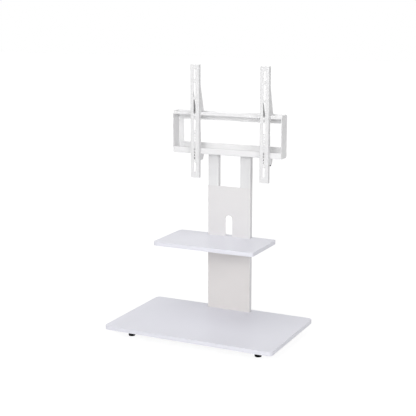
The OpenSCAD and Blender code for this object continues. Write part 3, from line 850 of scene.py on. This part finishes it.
def foot(place):
    """A pad and the stem that is moulded into it."""
    pad, stem = f"foot_pad_{place}", f"foot_stem_{place}"
    pad_box, stem_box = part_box(pad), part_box(stem)
    size = reach(pad_box)
    given = {"Pad radius": size.x / 2, "Neck radius": PAD_NECK, "Stem radius": M8["Thread radius"],
             "Pad height": PAD_HEIGHT, "Full height": size.z, "Seat height": stem_box[0].z - pad_box[0].z,
             "Edge": PAD_EDGE}
    made_on(pad + "_moulded", pad, pad_tree, given, [(on_axis(pad_box, pad_box[0].z), UP)])
    length = reach(stem_box).z - M8["Thread depth"]
    given = {**M8, "Thread start": 0.0, "Thread length": length}
    made_on(stem + "_threaded", stem, stem_tree, given, [(on_axis(pad_box, stem_box[1].z - length), DOWN)])


def lock_screw(side):
    """A lock screw, whose cap reaches below and beyond the solid's head."""
    node = f"lock_screw_{side}"
    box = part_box(node)
    given = {**M5, **CAP_SOCKET, "Head radius": CAP_RADIUS, "Head height": CAP_HEIGHT, "Thread start": 0.0,
             "Thread length": reach(box).z - LOCK_SEAT}
    made_on(node + "_threaded", node, cap_tree, given, [(on_axis(box, box[0].z + LOCK_SEAT), DOWN)], seed=3)


frame_rivets()
frame_bolts()
panel_screws()
tie_rods()
foot_inserts()
collars("rod_washers", ROD_WASHER_BORE, WASHER_EASE)
collars("frame_washers", FRAME_WASHER_BORE, WASHER_EASE)
for side in SIDES:
    collars(f"lock_nut_{side}", NUT_BORE, NUT_EASE)
    lock_screw(side)
for place in FEET:
    foot(place)

# Camera, as solved from the photograph's straight edges
CAMERA_PLACE = (1.60058, -3.30067, 1.27054)
CAMERA_TURN = 25.96
CAMERA_DIP = 11.65
FOCAL_PIXELS = 965.48
PHOTO_PIXELS = 416
SENSOR = 36.0
FAR_LIMIT = 60
camera = add_object("camera", bpy.data.cameras.new("camera"))
camera.location = CAMERA_PLACE
camera.rotation_euler = (math.radians(90 - CAMERA_DIP), 0, math.radians(CAMERA_TURN))
camera.data.sensor_width = SENSOR
camera.data.lens = FOCAL_PIXELS * SENSOR / PHOTO_PIXELS
camera.data.clip_end = FAR_LIMIT
bpy.context.scene.camera = camera

# Studio
FILL_LIGHT = 0.36
FLOOR_SIZE = 40.0
FLOOR_TONE = 0.8
FLOOR_ROUGHNESS = 0.9
SHADOW_TONE = 0.2
NEAR_GLOW = 0.9
FAR_GLOW = 0.975
LIT_REACH = 0.9
DARK_REACH = 3.2


def grey(tone):
    return (tone, tone, tone, 1)


def seen_mask(tree):
    """One where a ray comes from the camera, a reflection or a clear part, and nought elsewhere."""
    path = tree.add("ShaderNodeLightPath")
    seen = Reckon(tree, path.outputs["Is Camera Ray"])
    for kind in ("Is Glossy Ray", "Is Transmission Ray"):
        seen = seen.combine("MAXIMUM", Reckon(tree, path.outputs[kind]))
    return seen.socket


def shown(tree, lighting, seen):
    """A shader that lights as the first one does and looks like the second."""
    chosen = tree.add("ShaderNodeMixShader")
    tree.join(seen_mask(tree), chosen.inputs["Fac"])
    tree.join(lighting.outputs[0], chosen.inputs[1])
    tree.join(seen.outputs[0], chosen.inputs[2])
    return chosen.outputs[0]


def studio_world():
    world = bpy.data.worlds.new("studio")
    bpy.context.scene.world = world
    world.use_nodes = True
    tree = Tree(world.node_tree)
    plain = world.node_tree.nodes["Background"]
    plain.inputs["Color"].default_value = grey(1)
    plain.inputs["Strength"].default_value = FILL_LIGHT
    backdrop = tree.add("ShaderNodeBackground")
    backdrop.inputs["Color"].default_value = grey(1)
    backdrop.inputs["Strength"].default_value = 1.0
    tree.join(shown(tree, plain, backdrop), world.node_tree.nodes["World Output"].inputs["Surface"])


def studio_floor():
    """White floor: plain for the light, and to the eye white like the backdrop, with a faint shadow left."""
    mesh = bpy.data.meshes.new("floor")
    half = FLOOR_SIZE / 2
    corners = [(-half, -half, 0), (half, -half, 0), (half, half, 0), (-half, half, 0)]
    mesh.from_pydata(corners, [], [(0, 1, 2, 3)])
    floor = add_object("floor", mesh)
    material, tree, shader, place = new_material("studio_floor")
    shader.inputs["Base Color"].default_value = grey(FLOOR_TONE)
    shader.inputs["Roughness"].default_value = FLOOR_ROUGHNESS
    shader.inputs["Specular IOR Level"].default_value = 0.0
    matt = tree.add("ShaderNodeBsdfDiffuse")
    matt.inputs["Color"].default_value = grey(SHADOW_TONE)
    glow = tree.add("ShaderNodeEmission")
    away = tree.add("ShaderNodeVectorMath", operation="LENGTH")
    tree.join(place, away.inputs[0])
    strength = tree.span(away.outputs["Value"], NEAR_GLOW, FAR_GLOW, LIT_REACH, DARK_REACH)
    tree.join(strength, glow.inputs["Strength"])
    both = tree.add("ShaderNodeAddShader")
    tree.join(matt.outputs[0], both.inputs[0])
    tree.join(glow.outputs[0], both.inputs[1])
    tree.join(shown(tree, shader, both), material.node_tree.nodes["Material Output"].inputs["Surface"])
    dress(mesh, material)


def softbox(name, place, aim, size, watts):
    lamp = bpy.data.lights.new(name, "AREA")
    lamp.shape = "RECTANGLE"
    lamp.size, lamp.size_y = size
    lamp.energy = watts
    box = add_object(name, lamp)
    box.location = place
    box.rotation_euler = (Vector(aim) - Vector(place)).to_track_quat("-Z", "Y").to_euler()


studio_world()
studio_floor()
softbox("top_box", place=(-0.3, -0.9, 3.6), aim=(0, 0, 0.5), size=(2.6, 2.6), watts=28)
softbox("front_box", place=(0.4, -3.8, 1.8), aim=(0, 0, 0.8), size=(1.8, 1.2), watts=46)
softbox("high_box", place=(0.3, -3.4, 3.4), aim=(0, 0, 0.6), size=(2.4, 2.0), watts=20)
softbox("side_box", place=(4.2, -3.2, 2.2), aim=(0, 0, 0.8), size=(2.2, 1.8), watts=70)
softbox("rear_box", place=(0.0, 2.6, 3.0), aim=(0, 0, 0.5), size=(2.4, 2.0), watts=6)
softbox("back_box", place=(-3.2, 2.2, 2.2), aim=(0, 0, 0.7), size=(2.0, 1.8), watts=16)
bpy.context.scene.view_settings.view_transform = "Standard"
